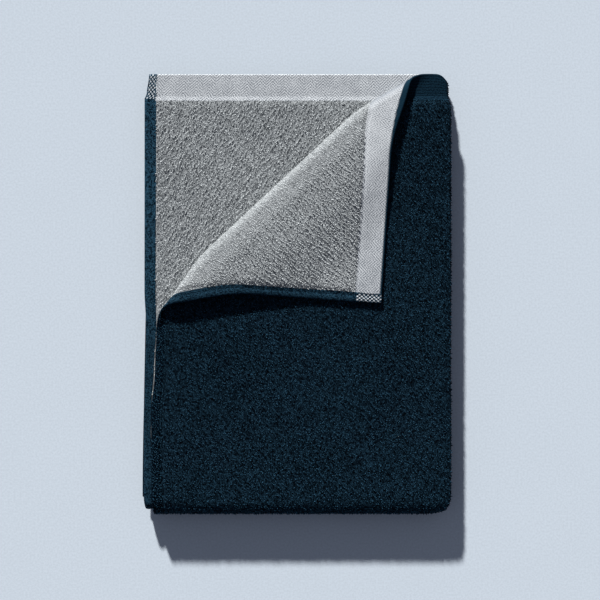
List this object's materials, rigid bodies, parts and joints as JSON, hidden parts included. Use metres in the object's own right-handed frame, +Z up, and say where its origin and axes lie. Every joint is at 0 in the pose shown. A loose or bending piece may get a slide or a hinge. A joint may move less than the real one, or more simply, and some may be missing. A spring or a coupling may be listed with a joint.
{
  "type": "folded bath towel",
  "caption": "Bath towel in two-faced terry, navy outside and grey inside, folded lengthwise and in three, with one corner of the top layer turned back.",
  "frame": {"origin": "middle of the footprint, on the surface that the towel lies on", "axes": "+X across the towel towards the long fold, +Y along it towards the free end that lies on top, +Z up"},
  "size_m": [0.3594, 0.5108, 0.0463],
  "materials": {
    "terry": "looped cotton pile, navy on one face and grey on the other, with flat woven hems"
  },
  "bodies": {
    "root": {"towel": "terry"}
  },
  "joints": []
}
